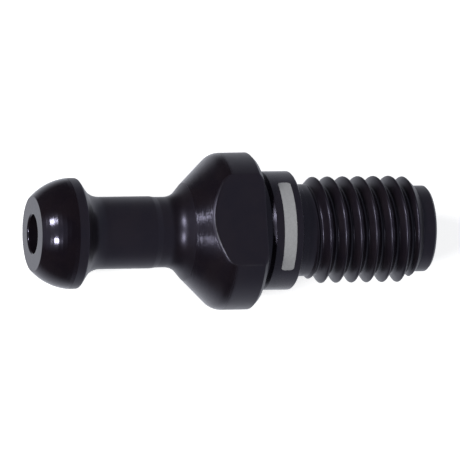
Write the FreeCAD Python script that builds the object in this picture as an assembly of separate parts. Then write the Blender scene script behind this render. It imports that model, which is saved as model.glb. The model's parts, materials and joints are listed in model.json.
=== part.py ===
import FreeCAD, Part

import math
import os

# A pull stud for the drawbar of a tool spindle: one turned steel piece with two milled wrench flats.
# X runs along its axis, from the head at -X to the thread at +X, and X = 0 is the seat face, the back
# of the flange, which closes on the tool holder. The stud lies on one wrench flat, with +Z up.
# All sizes are in millimetres, and all angles in degrees.

# Overall lengths, both counted from the seat face
head_reach = 24.65
tail_reach = 20.1

# Head, which the drawbar's gripper closes behind
head_diameter = 12.1
end_face_diameter = 8.25
dome_length = 3.8
dome_radius = 6.3
land_length = 1.0
land_edge_radius = 0.2
underside_angle = 55.0
underside_fillet = 2.4

# Neck, and the cone that leads from it to the flange. The neck's end is turned a little smaller, and
# the foot of the cone, where it leaves the neck's fillet, is steeper than the rest
neck_diameter = 7.9
neck_relief_depth = 0.09
neck_relief_length = 2.0
neck_relief_run = 0.6
neck_fillet = 2.1
cone_foot_height = 1.4
cone_foot_angle = 49.0
cone_angle = 44.0
shoulder_radius = 1.9

# Flange, which a spanner turns by its two flats
flange_diameter = 17.2
flange_rim = 4.2
flange_chamfer = 0.5
spanner_size = 14.0
spanner_clearance = 0.1

# Pilot, which centres the stud in the holder's counterbore, and the grinding undercut at its foot,
# which also relieves the seat face round the pilot, so that both can be ground to a sharp edge
counterbore_diameter = 13.02
pilot_clearance = 0.02
pilot_length = 4.35
pilot_chamfer = 0.12
undercut_width = 0.85
undercut_depth = 0.3
undercut_angle = 40.0
face_relief_depth = 0.12
face_relief_height = 0.2

# M12 x 1.75 thread, as the plain cylinder that its crests lie on, with the relief in front of it
thread_size = 12.0
thread_allowance = 0.2
thread_depth = 1.0
relief_diameter = 10.1
relief_length = 2.0
relief_fillet = 0.4

# Plain dog point behind the thread
dog_diameter = 9.45
dog_length = 1.65
dog_chamfer = 0.25

# Coolant bore, right through the stud
bore_diameter = 4.2
head_mouth_chamfer = 0.15
tail_mouth_chamfer = 0.4

pilot_diameter = counterbore_diameter - pilot_clearance
thread_crest_diameter = thread_size - thread_allowance
across_flats = spanner_size - spanner_clearance

ORIGIN = FreeCAD.Vector(0, 0, 0)
AXIS = FreeCAD.Vector(1, 0, 0)
OVERRUN = 1.0


def at(x, radius):
    """The point of the half section at distance x along the axis and radius from it."""
    return FreeCAD.Vector(x, 0, radius)


def rise(radial, angle):
    """How far along the axis a cone at this angle to it runs while its radius changes by radial."""
    return radial / math.tan(math.radians(angle))


def line(start, end):
    """A straight edge."""
    return Part.LineSegment(start, end).toShape()


def dome_edge(rim, land):
    """The convex arc from the end face's rim to the front of the head's land."""
    chord = land - rim
    bulge = dome_radius - math.sqrt(dome_radius**2 - (chord.Length / 2) ** 2)
    outward = FreeCAD.Vector(-chord.z, 0, chord.x).normalize()
    middle = rim + chord * 0.5 + outward * bulge
    return Part.Arc(rim, middle, land).toShape()


def rounded_run(corners):
    """Lines through corners, each (point, radius), with a tangent arc of that radius at each.

    An arc takes at most half of the shorter line beside it, so a short wall limits its fillet.
    """
    edges = []
    start = corners[0][0]
    for (before, _), (point, radius), (after, _) in zip(corners, corners[1:], corners[2:]):
        room = min(before.distanceToPoint(point), after.distanceToPoint(point)) / 2
        back = (before - point).normalize()
        ahead = (after - point).normalize()
        half_angle = back.getAngle(ahead) / 2
        reach = min(radius / math.tan(half_angle), room)
        if reach == 0:
            edges.append(line(start, point))
            start = point
        else:
            inward = (back + ahead).normalize()
            crown = point + inward * (reach / math.cos(half_angle) - reach * math.tan(half_angle))
            arc_start = point + back * reach
            arc_end = point + ahead * reach
            edges.append(line(start, arc_start))
            edges.append(Part.Arc(arc_start, crown, arc_end).toShape())
            start = arc_end
    edges.append(line(start, corners[-1][0]))
    return edges


def head_corners():
    """From the front of the head's land, down its underside, to the neck."""
    land_start = -head_reach + dome_length
    land_end = land_start + land_length
    neck_start = land_end + rise((head_diameter - neck_diameter) / 2, underside_angle)
    return [
        (at(land_start, head_diameter / 2), 0),
        (at(land_end, head_diameter / 2), land_edge_radius),
        (at(neck_start, neck_diameter / 2), underside_fillet),
    ]


def flange_corners():
    """The neck's end, up the cone, over the flange, and to the edge of the seat face."""
    foot_top = neck_diameter / 2 + cone_foot_height
    relief_radius = neck_diameter / 2 - neck_relief_depth
    cone_end = -flange_rim
    foot_end = cone_end - rise(flange_diameter / 2 - foot_top, cone_angle)
    foot_start = foot_end - rise(foot_top - relief_radius, cone_foot_angle)
    relief_start = foot_start - neck_relief_length
    return [
        (at(relief_start - neck_relief_run, neck_diameter / 2), 0),
        (at(relief_start, relief_radius), 0),
        (at(foot_start, relief_radius), neck_fillet),
        (at(foot_end, foot_top), 0),
        (at(cone_end, flange_diameter / 2), shoulder_radius),
        (at(-flange_chamfer, flange_diameter / 2), 0),
        (at(0, flange_diameter / 2 - flange_chamfer), 0),
    ]


def pilot_corners():
    """The seat face's inner edge, the undercut and the pilot behind it."""
    undercut_radius = pilot_diameter / 2 - undercut_depth
    ramp_end = undercut_width + rise(undercut_depth, undercut_angle)
    return [
        (at(0, pilot_diameter / 2 + face_relief_height), 0),
        (at(-face_relief_depth, undercut_radius), 0),
        (at(undercut_width, undercut_radius), 0),
        (at(ramp_end, pilot_diameter / 2), 0),
        (at(pilot_length - pilot_chamfer, pilot_diameter / 2), 0),
        (at(pilot_length, pilot_diameter / 2 - pilot_chamfer), 0),
        (at(pilot_length, relief_diameter / 2), relief_fillet),
    ]


def thread_corners():
    """The relief, the cylinder of the thread's crests with a chamfer at each end, and the dog."""
    crest = thread_crest_diameter / 2
    root = crest - thread_depth
    thread_start = pilot_length + relief_length
    thread_end = tail_reach - dog_length
    relief_step = crest - relief_diameter / 2
    return [
        (at(thread_start, relief_diameter / 2), 0),
        (at(thread_start + relief_step, crest), 0),
        (at(thread_end - thread_depth, crest), 0),
        (at(thread_end, root), 0),
        (at(thread_end, dog_diameter / 2), 0),
        (at(tail_reach - dog_chamfer, dog_diameter / 2), 0),
        (at(tail_reach, dog_diameter / 2 - dog_chamfer), 0),
        (at(tail_reach, 0), 0),
    ]


def turned_blank():
    """The whole outer form, turned about the axis, with no bore and no flats yet."""
    face_centre = at(-head_reach, 0)
    rim = at(-head_reach, end_face_diameter / 2)
    corners = head_corners() + flange_corners() + pilot_corners() + thread_corners()
    edges = [line(face_centre, rim), dome_edge(rim, corners[0][0])]
    edges += rounded_run(corners)
    edges.append(line(corners[-1][0], face_centre))
    return Part.Face(Part.Wire(edges)).revolve(ORIGIN, AXIS, 360)


def coolant_bore():
    """What the drill and the countersinks at both mouths take out."""
    radius = bore_diameter / 2
    mouths = [
        at(-head_reach - OVERRUN, 0),
        at(-head_reach - OVERRUN, radius + head_mouth_chamfer + OVERRUN),
        at(-head_reach + head_mouth_chamfer, radius),
        at(tail_reach - tail_mouth_chamfer, radius),
        at(tail_reach + OVERRUN, radius + tail_mouth_chamfer + OVERRUN),
        at(tail_reach + OVERRUN, 0),
    ]
    return Part.Face(Part.makePolygon(mouths + mouths[:1])).revolve(ORIGIN, AXIS, 360)


def wrench_flat(side):
    """The slab that the cutter mills off the flange and cone on one side, +1 above or -1 below."""
    reach = flange_diameter / 2 + OVERRUN
    length = flange_rim + rise((flange_diameter - neck_diameter) / 2, cone_angle)
    height = reach - across_flats / 2
    low = across_flats / 2 if side > 0 else -reach
    return Part.makeBox(length, 2 * reach, height, FreeCAD.Vector(-length, -reach, low))


def pull_stud():
    """The finished stud, as one solid."""
    return turned_blank().cut([coolant_bore(), wrench_flat(1), wrench_flat(-1)])


os.makedirs("parts", exist_ok=True)
pull_stud().Solids[0].exportStep("parts/pull_stud.step")
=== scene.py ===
"""The looks of the pull stud: one turned steel piece, blackened, lying on one of its wrench flats.

The whole stud is one mesh, made of rows of points round the axis. Its lengths are in millimetres until
the mesh is made, and MM turns them into metres. X runs along the axis, from the head to the thread.
A turn angle goes round the axis from +Y towards +Z.
"""

import json
import math

import bmesh
import bpy
from mathutils import Matrix, Vector


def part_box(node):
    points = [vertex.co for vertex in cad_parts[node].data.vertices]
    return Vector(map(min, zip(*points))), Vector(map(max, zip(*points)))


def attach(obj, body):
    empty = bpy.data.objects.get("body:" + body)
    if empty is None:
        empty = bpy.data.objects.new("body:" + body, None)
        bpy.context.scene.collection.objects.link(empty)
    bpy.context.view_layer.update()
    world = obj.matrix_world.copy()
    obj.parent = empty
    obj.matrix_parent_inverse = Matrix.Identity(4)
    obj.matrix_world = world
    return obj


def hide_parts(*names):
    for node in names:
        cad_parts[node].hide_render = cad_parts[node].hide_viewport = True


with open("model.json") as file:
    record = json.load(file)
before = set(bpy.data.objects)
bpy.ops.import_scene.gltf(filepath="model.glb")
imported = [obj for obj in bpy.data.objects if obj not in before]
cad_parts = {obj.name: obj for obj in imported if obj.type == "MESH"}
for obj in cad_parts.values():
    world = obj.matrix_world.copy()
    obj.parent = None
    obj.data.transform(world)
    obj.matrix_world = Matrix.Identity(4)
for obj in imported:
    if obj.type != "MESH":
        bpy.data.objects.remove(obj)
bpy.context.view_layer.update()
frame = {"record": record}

MM = 0.001
BODY = "root"
NODE = "pull_stud"

# ---------------------------------------------------------------------------------------------
# Sizes, in millimetres and degrees
# ---------------------------------------------------------------------------------------------

mounts = {m["name"]: m for m in frame["record"]["mounts"]}
cad_low, cad_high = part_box(NODE)


def mount_radius(name):
    """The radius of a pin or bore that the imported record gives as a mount."""
    return mounts[name]["dims"]["r_mm"]


# Overall sizes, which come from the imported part
head_front = cad_low.x / MM
tail_end = cad_high.x / MM
flange_radius = cad_high.y / MM
flat_height = cad_high.z / MM
bore_radius = mount_radius("coolant_bore")
head_radius = mount_radius("head_land")
pilot_radius = mount_radius("pilot")
crest_radius = mount_radius("thread")

# Head
end_face_radius = 4.125
end_face_edge = 0.12
dome_length = 3.8
dome_radius = 6.3
land_length = 1.0
land_edge = 0.22
underside_angle = 55.0
underside_fillet = 2.4

# Neck, cone and flange
neck_radius = 3.95
neck_relief_depth = 0.09
neck_relief_length = 2.0
neck_relief_run = 0.6
neck_fillet = 2.1
cone_foot_height = 1.4
cone_foot_angle = 49.0
cone_angle = 44.0
shoulder_radius = 1.9
flange_rim = 4.2
flange_chamfer = 0.5
edge_break = 0.06
# The lighter line on the flat's edge, rubbed bare steel and a painted highlight together: its width, and
# the turns where it fades
edge_line_width = 0.07
edge_line_end_turn = 34.0
edge_line_fade_turn = 6.0
straight_edge_line = 0.15
ring_margin = 0.5

# Undercut and pilot
face_relief_depth = 0.12
face_relief_height = 0.2
undercut_width = 0.85
undercut_depth = 0.3
undercut_angle = 40.0
pilot_length = 4.35
pilot_chamfer = 0.12
face_relief_rounding = 0.1
undercut_rounding = 0.15
pilot_edge = 0.08
pilot_rear_edge = 0.05

# Thread, with the relief in front of it
thread_pitch = 1.75
thread_depth = 1.0
thread_half_angle = 30.0
crest_half_width = 0.11
crest_rounding = 0.16
root_rounding = 0.14
first_crest = 7.4
relief_radius = 5.05
relief_length = 2.0
relief_fillet = 0.4
blank_rounding = 0.08
groove_rounding = 0.05
run_in_length = 0.9
run_in_before = 0.7
dog_step_slope = 3.0
form_lowering = 0.02
grid_past_pilot = 1.0
grid_past_thread = 0.12

# Dog point and the mouths of the bore
dog_radius = 4.725
dog_length = 1.65
dog_chamfer = 0.25
head_mouth = 0.15
tail_mouth = 0.4
dog_edge = 0.08
dog_end_edge = 0.06
tail_mouth_edge = 0.05

# The plain field on the pilot, where such studs carry a label
label_middle = 2.8
label_width = 1.4
label_turn = 94.5
label_length = 10.8
label_corner = 0.35
label_edge = 0.03

# How finely the rows and columns of the mesh lie: steps round the axis and in arcs are in degrees
COLUMN_STEP = 1.7
EDGE_COLUMN = 0.3
COLUMNS_FROM_EDGE = 0.8
ARC_STEP = 4.5
SMALL_ARC = 0.25
SMALL_ARC_STEP = 9.0
EDGE_ROW = 0.05
SHORTEST_STRETCH = 6 * EDGE_ROW
RING_TOLERANCE = 0.01
SHALLOWEST_SLOPE = 0.3
BESIDE_FLATS = 89.0

# Rows of the cone and flange: how far some lie from the flat's edge, and how many or where the rest are
edge_offsets = [0.4, 0.25, 0.15, 0.09, 0.05, 0.02]
cone_steps = 14
rim_steps = 7
rear_rows = [-0.62, -0.56, -0.5, -0.44, -0.34, -0.22, -0.12]
rear_edge_angles = (30, 60, 90)
seat_face_shares = (0.9, 0.5, 0.1)


def rise(radial, angle):
    """How far along the axis a cone at this angle to it runs while its radius changes by radial."""
    return radial / math.tan(math.radians(angle))


# ---------------------------------------------------------------------------------------------
# Outlines: lists of (x, radius), from the head's end face to the dog point
# ---------------------------------------------------------------------------------------------

def straight_points(start, end):
    """A point close to each end of a straight stretch, which keeps its shading flat."""
    along = end - start
    if along.length < SHORTEST_STRETCH:
        return []
    near = along * (EDGE_ROW / along.length)
    return [start + near, end - near]


def arc_points(centre, first, turn):
    """Points of an arc that starts at first and turns by an angle in radians about its centre."""
    spoke = first - centre
    arc_step = SMALL_ARC_STEP if spoke.length < SMALL_ARC else ARC_STEP
    steps = max(3, math.ceil(abs(math.degrees(turn)) / arc_step))
    points = []
    for step in range(steps + 1):
        angle = turn * step / steps
        c, s = math.cos(angle), math.sin(angle)
        points.append(centre + Vector((spoke.x * c - spoke.y * s, spoke.x * s + spoke.y * c)))
    return points


def outline(corners):
    """Points along the lines through corners, each (x, radius, rounding), with an arc at each rounding."""
    places = [Vector(corner[:2]) for corner in corners]
    points = [places[0]]
    for before, corner, after, rounding in zip(places, places[1:], places[2:], [c[2] for c in corners[1:]]):
        back = (before - corner).normalized()
        ahead = (after - corner).normalized()
        half_angle = back.angle(ahead) / 2
        room = min((before - corner).length, (after - corner).length) / 2
        reach = min(rounding / math.tan(half_angle), room)
        if reach == 0:
            points += straight_points(points[-1], corner) + [corner]
            continue
        arc_start = corner + back * reach
        centre = corner + (back + ahead).normalized() * (reach / math.cos(half_angle))
        turn = math.pi - 2 * half_angle
        if back.x * ahead.y - back.y * ahead.x > 0:
            turn = -turn
        points += straight_points(points[-1], arc_start) + arc_points(centre, arc_start, turn)
    return points + straight_points(points[-1], places[-1]) + [places[-1]]


def dome_corners():
    """The end face's rim and the points of the dome's arc behind it, up to the head's land."""
    rim = Vector((head_front, end_face_radius))
    land = Vector((head_front + dome_length, head_radius))
    chord = land - rim
    half_angle = math.asin(chord.length / 2 / dome_radius)
    inward = Vector((chord.y, -chord.x)).normalized()
    centre = (rim + land) / 2 + inward * dome_radius * math.cos(half_angle)
    arc = arc_points(centre, rim, -2 * half_angle)
    return [(*rim, end_face_edge)] + [(*point, 0) for point in arc[1:]]


def head_outline():
    """From the bore's mouth, over the dome, land and neck, to a ring on the cone before the flats."""
    land_end = head_front + dome_length + land_length
    neck_start = land_end + rise(head_radius - neck_radius, underside_angle)
    neck_end_radius = neck_radius - neck_relief_depth
    foot_start = foot_end - rise(foot_radius - neck_end_radius, cone_foot_angle)
    relief_start = foot_start - neck_relief_length
    corners = [(head_front + head_mouth, bore_radius, 0), (head_front, bore_radius + head_mouth, 0)]
    corners += dome_corners()
    corners += [
        (land_end, head_radius, land_edge),
        (neck_start, neck_radius, underside_fillet),
        (relief_start - neck_relief_run, neck_radius, 0),
        (relief_start, neck_end_radius, 0),
        (foot_start, neck_end_radius, neck_fillet),
        (foot_end, foot_radius, 0),
        (ring_before_flats, blank_radius(ring_before_flats), 0),
    ]
    return outline(corners)


def pilot_outline():
    """From the seat face's inner edge, through the undercut and over the pilot, to the thread's relief."""
    undercut_radius = pilot_radius - undercut_depth
    ramp_end = undercut_width + rise(undercut_depth, undercut_angle)
    return outline([
        (0, pilot_radius + face_relief_height, 0),
        (-face_relief_depth, undercut_radius, face_relief_rounding),
        (undercut_width, undercut_radius, undercut_rounding),
        (ramp_end, pilot_radius, pilot_edge),
        (pilot_length - pilot_chamfer, pilot_radius, pilot_edge),
        (pilot_length, pilot_radius - pilot_chamfer, pilot_rear_edge),
        (pilot_length, relief_radius, relief_fillet),
        (thread_grid_start, relief_radius, 0),
    ])


def dog_outline():
    """From the thread's last row, over the dog point and its end face, into the bore's mouth."""
    return outline([
        (thread_grid_end, dog_radius, 0),
        (tail_end - dog_chamfer, dog_radius, dog_edge),
        (tail_end, dog_radius - dog_chamfer, dog_end_edge),
        (tail_end, bore_radius + tail_mouth, tail_mouth_edge),
        (tail_end - tail_mouth, bore_radius, tail_mouth_edge),
        (tail_end - 2 * tail_mouth, bore_radius, 0),
    ])


def bore_outline():
    """The bore's wall, from the tail's mouth back to the head's."""
    start = Vector((tail_end - 2 * tail_mouth, bore_radius))
    end = Vector((head_front + head_mouth, bore_radius))
    return straight_points(start, end)


# ---------------------------------------------------------------------------------------------
# Cone and flange, with the wrench flats
# ---------------------------------------------------------------------------------------------

foot_radius = neck_radius + cone_foot_height
foot_end = -flange_rim - rise(flange_radius - foot_radius, cone_angle)
half_turn = math.radians(cone_angle / 2)
shoulder_end = -flange_rim + shoulder_radius * math.tan(half_turn)
shoulder_start = shoulder_end - shoulder_radius * math.sin(2 * half_turn)
flat_half_turn = math.degrees(math.acos(flat_height / flange_radius))
ring_before_flats = -flange_rim - rise(flange_radius - flat_height, cone_angle) - ring_margin


def blank_radius(x):
    """The radius of the cone, shoulder, flange and rear chamfer at x, before the flats are milled."""
    if x < shoulder_start:
        return flange_radius + (x + flange_rim) * math.tan(math.radians(cone_angle))
    if x < shoulder_end:
        return flange_radius - shoulder_radius + math.sqrt(shoulder_radius**2 - (shoulder_end - x)**2)
    return flange_radius - max(0, x + flange_chamfer)


def turn_from_flat(angle):
    """How far a turn angle is from the middle of the nearer flat, in degrees."""
    return abs((angle % 180) - 90)


def flat_radius(angle):
    """The distance from the axis to the flat at a turn angle."""
    return flat_height / math.cos(math.radians(turn_from_flat(angle)))


def flat_edge(angle):
    """Where the flat begins along the axis, which is the shoulder's end beside the flats."""
    if turn_from_flat(angle) >= flat_half_turn:
        return shoulder_end
    radius = flat_radius(angle)
    if radius < blank_radius(shoulder_start):
        return -flange_rim - rise(flange_radius - radius, cone_angle)
    below_crown = radius - flange_radius + shoulder_radius
    return shoulder_end - math.sqrt(max(0, shoulder_radius**2 - below_crown**2))


def smaller(a, b, softness):
    """The smaller of two radii, with the edge between them rounded."""
    return (a + b - math.sqrt((a - b)**2 + softness**2)) / 2


def slope_across_edge(x, angle):
    """How fast the blank and the flat part from each other, for each millimetre along the surface."""
    step = 0.01
    blank_slope = (blank_radius(x + step) - blank_radius(x - step)) / (2 * step)
    flat_slope = math.tan(math.radians(turn_from_flat(angle)))
    return max(SHALLOWEST_SLOPE, math.hypot(blank_slope, flat_slope))


def flange_point(x, angle):
    """The radius on the cone or flange at x and a turn angle, and how strong its lighter edge line is, from
    0 to 1.

    The edge line is rubbed bare steel with a painted highlight on it, on the flat's edge. It fades where
    the edge turns to run straight along the flange.
    """
    blank = blank_radius(x)
    if turn_from_flat(angle) > BESIDE_FLATS:
        return blank, 0
    slope = slope_across_edge(x, angle)
    flat = flat_radius(angle)
    wear = math.exp(-((blank - flat) / (slope * edge_line_width))**2)
    wear *= min(1, max(straight_edge_line, (edge_line_end_turn - turn_from_flat(angle)) / edge_line_fade_turn))
    return smaller(blank, flat, edge_break * slope), wear


def flange_rows(angle):
    """The x of each row in the cone and flange at a turn angle. Rows crowd at the flat's edge."""
    edge = flat_edge(angle)
    rows = []
    cone_end = edge - edge_offsets[0]
    for step in range(1, cone_steps + 1):
        rows.append(ring_before_flats + (cone_end - ring_before_flats) * step / cone_steps)
    rows += [edge - offset for offset in edge_offsets[1:]]
    rows.append(edge)
    rows += [edge + offset for offset in reversed(edge_offsets)]
    rim_start = rows[-1]
    for step in range(1, rim_steps):
        rows.append(rim_start + (rear_rows[0] - rim_start) * step / rim_steps)
    return rows + rear_rows


# ---------------------------------------------------------------------------------------------
# Thread
# ---------------------------------------------------------------------------------------------

root_radius = crest_radius - thread_depth
thread_start = pilot_length + relief_length
thread_end = tail_end - dog_length
thread_grid_start = pilot_length + grid_past_pilot
thread_grid_end = thread_end + grid_past_thread


def thread_blank(x):
    """The radius of the turned blank in the thread's stretch: relief, chamfer, crests, chamfer and dog."""
    front = relief_radius + max(0, x - thread_start)
    back = root_radius + max(0, thread_end - x)
    if x > thread_end:
        back = max(dog_radius, root_radius - (x - thread_end) * dog_step_slope)
    return smaller(smaller(front, crest_radius, blank_rounding), back, blank_rounding)


def thread_form(phase):
    """The radius of an endless thread at a phase in millimetres from its crest, up to half a pitch away."""
    away = abs(phase)
    slope = 1 / math.tan(math.radians(thread_half_angle))
    flank = crest_radius - (away - crest_half_width) * slope
    rounded_crest = smaller(crest_radius, flank, crest_rounding)
    above_root = rounded_crest - root_radius
    radius = root_radius + (above_root + math.hypot(above_root, root_rounding)) / 2
    return radius - form_lowering


def thread_radius(x, phase):
    """The radius of the real thread, which fades in at the relief's end and is chamfered at both ends."""
    share = min(1, max(0, (x - thread_start + run_in_before) / run_in_length))
    blank = thread_blank(x)
    cut = smaller(blank, thread_form(phase), groove_rounding)
    return blank + (cut - blank) * share * share * (3 - 2 * share)


thread_phases = [0, 0.05, 0.1, 0.16, 0.23, 0.34, 0.46, 0.57, 0.64, 0.7, 0.77, 0.875]


def thread_rows():
    """The phase of each row of one pitch, from the crest, over the groove, towards the next crest."""
    rising = [thread_pitch - phase for phase in reversed(thread_phases[1:-1])]
    return thread_phases + rising


# ---------------------------------------------------------------------------------------------
# The mesh
# ---------------------------------------------------------------------------------------------

def column_angles():
    """Turn angles of the columns: even between the flats' four edges, with two more close to each edge."""
    edges = []
    for middle in (90, 270):
        edges += [middle - flat_half_turn, middle + flat_half_turn]
    angles = []
    for start, end in zip(edges, edges[1:] + [edges[0] + 360]):
        inner_start, inner_end = start + COLUMNS_FROM_EDGE, end - COLUMNS_FROM_EDGE
        steps = math.ceil((inner_end - inner_start) / COLUMN_STEP)
        angles += [start, start + EDGE_COLUMN]
        angles += [inner_start + (inner_end - inner_start) * step / steps for step in range(steps + 1)]
        angles.append(end - EDGE_COLUMN)
    return angles


class Skin:
    """Collects the points and faces of one closed surface round the axis."""

    def __init__(self, angles):
        self.angles = angles
        self.points = []
        self.wear = []
        self.faces = []
        self.finishes = []

    def add_point(self, x, radius, column, wear=0.0):
        angle = math.radians(self.angles[column])
        self.points.append((x * MM, radius * math.cos(angle) * MM, radius * math.sin(angle) * MM))
        self.wear.append(wear)
        return len(self.points) - 1

    def ring(self, x, radius):
        """A full circle of points."""
        return [self.add_point(x, radius, column) for column in range(len(self.angles))]

    def face(self, corners, finish):
        """One face, if it has at least three different corners."""
        distinct = [c for c, following in zip(corners, corners[1:] + corners[:1]) if c != following]
        if len(distinct) >= 3:
            self.faces.append(distinct)
            self.finishes.append(finish)

    def strip(self, ring, following, finish_at):
        """The faces between two rings. finish_at gives the finish for each column's middle angle."""
        count = len(self.angles)
        for column in range(count):
            after = (column + 1) % count
            span = (self.angles[after] - self.angles[column]) % 360
            finish = finish_at(self.angles[column] + span / 2)
            self.face([ring[column], ring[after], following[after], following[column]], finish)

    def rings(self, outline_points, finish_of, last):
        """Rings through the points of an outline, joined to the last ring. Gives back the last of them."""
        for x, radius in outline_points:
            ring = self.ring(x, radius)
            finish = finish_of(x)
            self.strip(last, ring, lambda angle: finish)
            last = ring
        return last


def finish_before_flats(x):
    """The finish of the head, neck and foot of the cone at x."""
    if x < head_front + dome_length - RING_TOLERANCE:
        return "smooth"
    return "turned" if x < foot_end else "coarse"


def add_flange(skin, last):
    """The cone and the flange with its flats, the rear edge and the seat face."""
    columns = []
    for column, angle in enumerate(skin.angles):
        indexes = []
        for x in flange_rows(angle):
            radius, wear = flange_point(x, angle)
            indexes.append(skin.add_point(x, radius, column, wear))
        rear_radius, _ = flange_point(0, angle)
        for angle_in_edge in rear_edge_angles:
            away = math.radians(angle_in_edge)
            x = -edge_break * (1 - math.sin(away))
            radius = flange_point(x, angle)[0] - edge_break * (1 - math.cos(away))
            indexes.append(skin.add_point(x, radius, column))
        inner = pilot_radius + face_relief_height
        for share in seat_face_shares:
            indexes.append(skin.add_point(0, inner + (rear_radius - edge_break - inner) * share, column))
        columns.append(indexes)
    edge_row = cone_steps + len(edge_offsets) - 1
    flat_rows = range(edge_row, edge_row + len(edge_offsets) + rim_steps + len(rear_rows))

    for row in range(len(columns[0])):
        ring = [indexes[row] for indexes in columns]
        on_flat = row - 1 in flat_rows
        blank_finish = "coarse" if row <= cone_steps else "turned"

        def finish_at(angle):
            return "milled" if on_flat and turn_from_flat(angle) < flat_half_turn else blank_finish

        skin.strip(last, ring, finish_at)
        last = ring
    return last


def add_thread(skin, start_ring, end_ring):
    """The thread between two rings. Its rows run along the helix, so that its crest is one clean line."""
    phases = thread_rows()
    turns_before = math.ceil((first_crest - thread_grid_start) / thread_pitch) + 1
    first = first_crest - turns_before * thread_pitch
    turns = math.ceil((thread_grid_end - first) / thread_pitch)
    rows = [(first + turn * thread_pitch + phase, phase) for turn in range(turns + 1) for phase in phases]

    def column_of(column, angle):
        indexes = []
        for base, phase in rows:
            x = base + thread_pitch * angle / 360
            if x <= thread_grid_start:
                indexes.append(start_ring[column])
            elif x >= thread_grid_end:
                indexes.append(end_ring[column])
            else:
                from_crest = min(phase, thread_pitch - phase)
                indexes.append(skin.add_point(x, thread_radius(x, from_crest), column))
        return indexes

    count = len(skin.angles)
    start_angle = skin.angles[0]
    columns = [column_of(column, skin.angles[column] - start_angle) for column in range(count)]
    wrapped = columns[0][len(phases):] + [end_ring[0]] * len(phases)
    columns.append(wrapped)
    for column in range(count):
        here, after = columns[column], columns[column + 1]
        for row in range(len(rows) - 1):
            corners = [here[row], after[row], after[row + 1], here[row + 1]]
            skin.face(corners, "threaded")


def stud_skin():
    """The whole surface of the stud: outside from head to tail, and back through the bore."""
    skin = Skin(column_angles())
    head = head_outline()
    mouth = skin.ring(*head[0])
    last = skin.rings(head[1:], finish_before_flats, mouth)
    last = add_flange(skin, last)
    relief = skin.rings(pilot_outline(), lambda x: "ground", last)
    dog_points = dog_outline()
    dog = skin.ring(*dog_points[0])
    add_thread(skin, relief, dog)
    last = skin.rings(dog_points[1:], lambda x: "turned", dog)
    last = skin.rings(bore_outline(), lambda x: "drilled", last)
    skin.strip(last, mouth, lambda angle: "drilled")
    return skin


def make_stud(materials):
    """The stud as one smooth-shaded mesh with a material for each finish."""
    skin = stud_skin()
    mesh = bpy.data.meshes.new("stud")
    mesh.from_pydata(skin.points, [], skin.faces)
    finishes = list(materials)
    for finish in finishes:
        mesh.materials.append(materials[finish])
    for polygon, finish in zip(mesh.polygons, skin.finishes):
        polygon.material_index = finishes.index(finish)
        polygon.use_smooth = True
    # The mask of the lighter edge line: worn edge and painted highlight together
    wear = mesh.attributes.new("wear", "FLOAT", "POINT")
    wear.data.foreach_set("value", skin.wear)
    mesh.update()
    stud = bpy.data.objects.new("stud", mesh)
    bpy.context.scene.collection.objects.link(stud)
    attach(stud, BODY)
    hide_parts(NODE)
    return stud


# ---------------------------------------------------------------------------------------------
# Materials
# ---------------------------------------------------------------------------------------------

class Nodes:
    """Short ways to build a node tree."""

    def __init__(self, tree):
        self.tree = tree
        tree.nodes.clear()

    def add(self, kind, **settings):
        node = self.tree.nodes.new(kind)
        for name, value in settings.items():
            setattr(node, name, value)
        return node

    def link(self, source, target):
        self.tree.links.new(source, target)

    def put(self, target, value):
        """Sets an input to a number or colour, or links it to an output."""
        if isinstance(value, bpy.types.NodeSocket):
            self.link(value, target)
        else:
            target.default_value = value

    def math(self, operation, *values, clamp=False):
        node = self.add("ShaderNodeMath", operation=operation, use_clamp=clamp)
        for target, value in zip(node.inputs, values):
            self.put(target, value)
        return node.outputs[0]

    def ramp(self, value, low, high, to_low=0.0, to_high=1.0):
        """A value moved from one range to another, smooth at both ends."""
        node = self.add("ShaderNodeMapRange", interpolation_type="SMOOTHSTEP")
        for target, number in zip(node.inputs, (value, low, high, to_low, to_high)):
            self.put(target, number)
        return node.outputs[0]

    def mix(self, share, first, second):
        """Two colours mixed."""
        node = self.add("ShaderNodeMix", data_type="RGBA")
        self.put(node.inputs[0], share)
        self.put(node.inputs[6], first)
        self.put(node.inputs[7], second)
        return node.outputs[2]

    def noise(self, vector, scale, detail=2.0, roughness=0.5):
        node = self.add("ShaderNodeTexNoise")
        self.link(vector, node.inputs["Vector"])
        self.put(node.inputs["Scale"], scale)
        self.put(node.inputs["Detail"], detail)
        self.put(node.inputs["Roughness"], roughness)
        return node.outputs["Fac"]

    def combine(self, x, y, z):
        node = self.add("ShaderNodeCombineXYZ")
        for target, value in zip(node.inputs, (x, y, z)):
            self.put(target, value)
        return node.outputs[0]


# Turning marks: rings in each millimetre, how much the radius counts beside x, and radians in a stroke
RINGS_PER_MM = 6.0
RING_LEAN = 0.83
STROKE_LENGTH = 0.35

# Linear colours. The oxide lies in patches of two tones
VIOLET_OXIDE = (0.0066, 0.0046, 0.0072, 1)
BROWN_OXIDE = (0.0092, 0.0064, 0.0085, 1)
# The lighter edge line's colour: rubbed bare steel with a painted highlight on it
RUBBED_EDGE_AND_HIGHLIGHT = (0.085, 0.085, 0.087, 1)
OXIDE_SHEEN = (0.76, 0.74, 1.0, 1)
OXIDE_IOR = 1.5
LABEL_ROUGHNESS = 0.3
DARK_ETCH = 0.34
PALE_ETCH = 0.42
GLOSSIER = 0.02
DULLER = 0.03

# How fine each unevenness is: noise features to the millimetre
OXIDE_PATCHES = 0.35
GLOSS_PATCHES = 1.1
EDGE_LINE_PATCHES = 2.2
ETCH_GRAIN = 9.0

# Painted highlight: the edge line grows brighter across the stud, from its least share at one Y to all of
# it at another
DIMMEST_EDGE_LINE_Y = 2.5
BRIGHTEST_EDGE_LINE_Y = -1.5
DIMMEST_EDGE_LINE = 0.1


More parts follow.
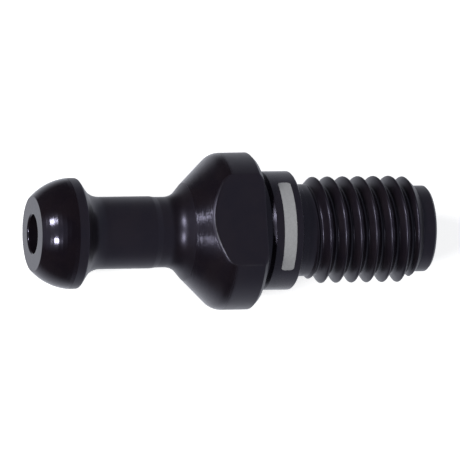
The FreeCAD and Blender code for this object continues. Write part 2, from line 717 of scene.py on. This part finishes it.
def place(nodes):
    """The place on the stud as x, y and z in millimetres, the radius, and the direction round the axis."""
    coordinates = nodes.add("ShaderNodeTexCoord")
    in_mm = nodes.add("ShaderNodeVectorMath", operation="SCALE")
    nodes.link(coordinates.outputs["Object"], in_mm.inputs[0])
    in_mm.inputs["Scale"].default_value = 1 / MM
    split = nodes.add("ShaderNodeSeparateXYZ")
    nodes.link(in_mm.outputs[0], split.inputs[0])
    x, y, z = split.outputs
    squares = nodes.math("ADD", nodes.math("MULTIPLY", y, y), nodes.math("MULTIPLY", z, z))
    return in_mm.outputs[0], x, y, z, nodes.math("SQRT", squares)


def turned_marks(nodes, x, y, z, radius):
    """A height from 0 to 1 of fine rings round the axis, broken into strokes."""
    across = nodes.math("ADD", x, nodes.math("MULTIPLY", radius, RING_LEAN))
    around_y = nodes.math("MULTIPLY", nodes.math("DIVIDE", y, radius), 1 / STROKE_LENGTH)
    around_z = nodes.math("MULTIPLY", nodes.math("DIVIDE", z, radius), 1 / STROKE_LENGTH)
    place_in_rings = nodes.combine(nodes.math("MULTIPLY", across, RINGS_PER_MM), around_y, around_z)
    return nodes.noise(place_in_rings, 1.0, 3.0, 0.6)


def label_field(nodes, x, y, z):
    """1 on the plain pale field that is etched on the pilot, and 0 elsewhere."""
    turn = nodes.math("DEGREES", nodes.math("ARCTAN2", z, y))
    along = nodes.math("ABSOLUTE", nodes.math("SUBTRACT", x, label_middle))
    around = nodes.math("ABSOLUTE", nodes.math("SUBTRACT", turn, label_turn))
    around = nodes.math("MULTIPLY", around, math.radians(pilot_radius))
    past_side = nodes.math("MAXIMUM", nodes.math("SUBTRACT", along, label_width / 2 - label_corner), 0.0)
    past_end = nodes.math("MAXIMUM", nodes.math("SUBTRACT", around, label_length / 2 - label_corner), 0.0)
    squares = nodes.math("ADD", nodes.math("POWER", past_side, 2.0), nodes.math("POWER", past_end, 2.0))
    away = nodes.math("SQRT", squares)
    return nodes.ramp(away, label_corner - label_edge, label_corner + label_edge, 1.0, 0.0)


def oxide_colour(nodes, at, y):
    """Nearly black, in faint violet and brown patches, and rubbed bare at the worn edge.

    The worn edge also carries a painted highlight, which makes it brightest on one side.
    """
    patches = nodes.ramp(nodes.noise(at, OXIDE_PATCHES, 3.0), 0.35, 0.65)
    oxide = nodes.mix(patches, VIOLET_OXIDE, BROWN_OXIDE)
    wear = nodes.add("ShaderNodeAttribute", attribute_name="wear").outputs["Fac"]
    # Painted highlight: the edge line is brightest towards -Y and faint towards +Y
    highlight_side = nodes.ramp(y, DIMMEST_EDGE_LINE_Y, BRIGHTEST_EDGE_LINE_Y, DIMMEST_EDGE_LINE, 1.0)
    uneven_edge_line = nodes.ramp(nodes.noise(at, EDGE_LINE_PATCHES, 4.0), 0.35, 0.6, 0.25, 1.0)
    edge_line_share = nodes.math("MULTIPLY", nodes.math("MULTIPLY", wear, highlight_side), uneven_edge_line)
    return nodes.mix(edge_line_share, oxide, RUBBED_EDGE_AND_HIGHLIGHT)


def black_steel(name, mark_depth, roughness, labelled=False):
    """Satin blackened steel. mark_depth is the depth of its turning marks in millimetres."""
    material = bpy.data.materials.new(name)
    material.use_nodes = True
    nodes = Nodes(material.node_tree)
    at, x, y, z, radius = place(nodes)
    shader = nodes.add("ShaderNodeBsdfPrincipled")
    output = nodes.add("ShaderNodeOutputMaterial")
    nodes.link(shader.outputs[0], output.inputs["Surface"])

    colour = oxide_colour(nodes, at, y)
    uneven = nodes.noise(at, GLOSS_PATCHES, 4.0, 0.6)
    gloss = nodes.ramp(uneven, 0.3, 0.7, roughness - GLOSSIER, roughness + DULLER)
    if labelled:
        field = label_field(nodes, x, y, z)
        etch = nodes.ramp(nodes.noise(at, ETCH_GRAIN, 2.0), 0.3, 0.7, DARK_ETCH, PALE_ETCH)
        colour = nodes.mix(field, colour, nodes.combine(etch, etch, etch))
        gloss = nodes.math("ADD", gloss, nodes.math("MULTIPLY", field, LABEL_ROUGHNESS))
    nodes.put(shader.inputs["Base Color"], colour)
    nodes.put(shader.inputs["Roughness"], gloss)
    bump = nodes.add("ShaderNodeBump")
    bump.inputs["Strength"].default_value = 1.0
    bump.inputs["Distance"].default_value = mark_depth * MM
    nodes.link(turned_marks(nodes, x, y, z, radius), bump.inputs["Height"])
    nodes.link(bump.outputs[0], shader.inputs["Normal"])
    shader.inputs["IOR"].default_value = OXIDE_IOR
    shader.inputs["Specular Tint"].default_value = OXIDE_SHEEN
    return material


def stud_materials():
    """One material for each finish: its marks' depth in millimetres, and its roughness."""
    return {
        "smooth": black_steel("smooth_black_steel", 0.0008, 0.14),
        "turned": black_steel("turned_black_steel", 0.002, 0.32),
        "coarse": black_steel("coarse_black_steel", 0.035, 0.2),
        "milled": black_steel("milled_black_steel", 0.002, 0.34),
        "ground": black_steel("ground_black_steel", 0.002, 0.26, labelled=True),
        "threaded": black_steel("threaded_black_steel", 0.002, 0.33),
        "drilled": black_steel("drilled_black_steel", 0.01, 0.3),
    }


# ---------------------------------------------------------------------------------------------
# Stage: floor, light and camera
# ---------------------------------------------------------------------------------------------

# Lengths here are in metres, and directions point away from the stud. The patch of light's edge and core
# are cosines of the angle from its middle, and the other starts and ends are parts of a unit direction
floor_half_size = 3.0
floor_colour = (0.8, 0.8, 0.8, 1)
floor_glow = 0.75
backdrop_radius = 1.0
lamp_distance = 0.7
lamp_radius = 0.062
lamp_light = 1.5
lamp_directions = [(-0.777, 0.299, 0.554), (-0.74, -0.341, 0.579)]
patch_direction = (-0.84, -0.03, 0.54)
patch_level = 0.5
patch_edge = 0.743
patch_core = 0.978
side_tilt = 0.06
side_start = -0.05
side_end = 0.38
sky_level = 0.44
sky_colour = (0.95, 0.98, 1.06, 1)
dark_side_level = 0.03
low_side_start = 0.05
low_side_end = -0.45
low_side_gain = 1.7
below_start = -0.4
below_end = -0.95
below_level = 0.85


def make_floor():
    """A plain white floor under the lower flat, which keeps the stud's shadow.

    Seen from below it isn't there. Reflections look past it, at the studio below.
    """
    half, bottom = floor_half_size, cad_low.z
    corners = [(-half, -half, bottom), (half, -half, bottom), (half, half, bottom), (-half, half, bottom)]
    mesh = bpy.data.meshes.new("floor")
    mesh.from_pydata(corners, [], [(0, 1, 2, 3)])
    material = bpy.data.materials.new("white_floor")
    material.use_nodes = True
    nodes = Nodes(material.node_tree)
    diffuse = nodes.add("ShaderNodeBsdfDiffuse")
    diffuse.inputs["Color"].default_value = floor_colour
    rays = nodes.add("ShaderNodeLightPath").outputs
    seen = nodes.math("MAXIMUM", rays["Is Camera Ray"], rays["Is Glossy Ray"])
    seen = nodes.math("MAXIMUM", seen, rays["Is Transmission Ray"])
    glow = nodes.add("ShaderNodeEmission")
    nodes.put(glow.inputs["Strength"], nodes.math("MULTIPLY", seen, floor_glow))
    lit = nodes.add("ShaderNodeAddShader")
    nodes.link(diffuse.outputs[0], lit.inputs[0])
    nodes.link(glow.outputs[0], lit.inputs[1])
    below = nodes.add("ShaderNodeMixShader")
    nodes.link(nodes.add("ShaderNodeNewGeometry").outputs["Backfacing"], below.inputs[0])
    nodes.link(lit.outputs[0], below.inputs[1])
    nodes.link(nodes.add("ShaderNodeBsdfTransparent").outputs[0], below.inputs[2])
    nodes.link(below.outputs[0], nodes.add("ShaderNodeOutputMaterial").inputs["Surface"])
    mesh.materials.append(material)
    floor = bpy.data.objects.new("floor", mesh)
    bpy.context.scene.collection.objects.link(floor)
    floor.visible_glossy = False
    floor.visible_shadow = False


def make_backdrop():
    """A white ball round the whole studio. Only the camera sees it, and only its inside."""
    shell = bmesh.new()
    bmesh.ops.create_uvsphere(shell, u_segments=48, v_segments=24, radius=backdrop_radius)
    bmesh.ops.reverse_faces(shell, faces=shell.faces)
    mesh = bpy.data.meshes.new("backdrop")
    shell.to_mesh(mesh)
    shell.free()
    material = bpy.data.materials.new("white_backdrop")
    material.use_nodes = True
    nodes = Nodes(material.node_tree)
    inside = nodes.add("ShaderNodeMixShader")
    nodes.link(nodes.add("ShaderNodeNewGeometry").outputs["Backfacing"], inside.inputs[0])
    nodes.link(nodes.add("ShaderNodeEmission").outputs[0], inside.inputs[1])
    nodes.link(nodes.add("ShaderNodeBsdfTransparent").outputs[0], inside.inputs[2])
    nodes.link(inside.outputs[0], nodes.add("ShaderNodeOutputMaterial").inputs["Surface"])
    mesh.materials.append(material)
    backdrop = bpy.data.objects.new("backdrop", mesh)
    bpy.context.scene.collection.objects.link(backdrop)
    backdrop.visible_diffuse = False
    backdrop.visible_glossy = False
    backdrop.visible_transmission = False
    backdrop.visible_shadow = False


def make_lamps():
    """Two small round lamps past the head, which leave a pair of bright spots on the steel."""
    for number, direction in enumerate(lamp_directions):
        towards = Vector(direction).normalized()
        lamp = bpy.data.lights.new(f"lamp_{number}", "AREA")
        lamp.shape = "DISK"
        lamp.size = 2 * lamp_radius
        lamp.energy = math.pi * lamp_light * lamp_distance**2
        holder = bpy.data.objects.new(f"lamp_{number}", lamp)
        holder.location = towards * lamp_distance
        holder.rotation_mode = "QUATERNION"
        holder.rotation_quaternion = towards.to_track_quat("Z", "Y")
        bpy.context.scene.collection.objects.link(holder)


def make_sky():
    """The studio: dim past the thread, dark past the head but for a soft patch, and pale straight below."""
    world = bpy.data.worlds.new("studio")
    world.use_nodes = True
    bpy.context.scene.world = world
    nodes = Nodes(world.node_tree)
    direction = nodes.add("ShaderNodeTexCoord").outputs["Generated"]
    split = nodes.add("ShaderNodeSeparateXYZ")
    nodes.link(direction, split.inputs[0])
    x, y, z = split.outputs
    towards_thread = nodes.math("SUBTRACT", x, nodes.math("MULTIPLY", y, side_tilt))
    side = nodes.ramp(towards_thread, side_start, side_end, dark_side_level, sky_level)
    low_gain = nodes.ramp(z, low_side_end, low_side_start, low_side_gain, 1.0)
    side = nodes.math("MULTIPLY", side, low_gain)
    below = nodes.ramp(z, below_end, below_start, below_level, 0.0)
    across_patch = nodes.add("ShaderNodeVectorMath", operation="DOT_PRODUCT")
    nodes.link(direction, across_patch.inputs[0])
    across_patch.inputs[1].default_value = patch_direction
    patch = nodes.ramp(across_patch.outputs["Value"], patch_edge, patch_core, 0.0, patch_level)
    level = nodes.math("ADD", nodes.math("MAXIMUM", side, below), patch)
    background = nodes.add("ShaderNodeBackground")
    background.inputs["Color"].default_value = sky_colour
    nodes.put(background.inputs["Strength"], level)
    nodes.link(background.outputs[0], nodes.add("ShaderNodeOutputWorld").inputs["Surface"])


# The camera's distance is in metres, and its other lengths in millimetres
camera_distance = 1.2
view_width = 50.33
view_yaw = 16.55
view_tilt = 10.1
view_roll = 0.83
view_centre_left = 2.13
view_centre_up = 0.09


def make_camera():
    """A long lens that looks down on the stud, a little from the head's side."""
    yaw, tilt, roll = (math.radians(angle) for angle in (view_yaw, view_tilt, view_roll))
    towards = Vector((-math.sin(yaw), -math.cos(yaw) * math.sin(tilt), math.cos(yaw) * math.cos(tilt)))
    axis = Vector((1, 0, 0))
    level_right = (axis - towards * axis.dot(towards)).normalized()
    level_up = towards.cross(level_right)
    right = level_right * math.cos(roll) - level_up * math.sin(roll)
    up = towards.cross(right)
    target = (up * view_centre_up - right * view_centre_left) * MM
    camera = bpy.data.cameras.new("camera")
    camera.sensor_width = 36.0
    camera.lens = camera.sensor_width * camera_distance / (view_width * MM)
    camera.clip_start = 0.1
    camera.clip_end = 20.0
    holder = bpy.data.objects.new("camera", camera)
    turn = Matrix((right, up, towards)).transposed().to_4x4()
    holder.matrix_world = Matrix.Translation(target + towards * camera_distance) @ turn
    bpy.context.scene.collection.objects.link(holder)
    bpy.context.scene.camera = holder


make_stud(stud_materials())
make_floor()
make_backdrop()
make_lamps()
make_sky()
make_camera()
bpy.context.scene.view_settings.view_transform = "Standard"
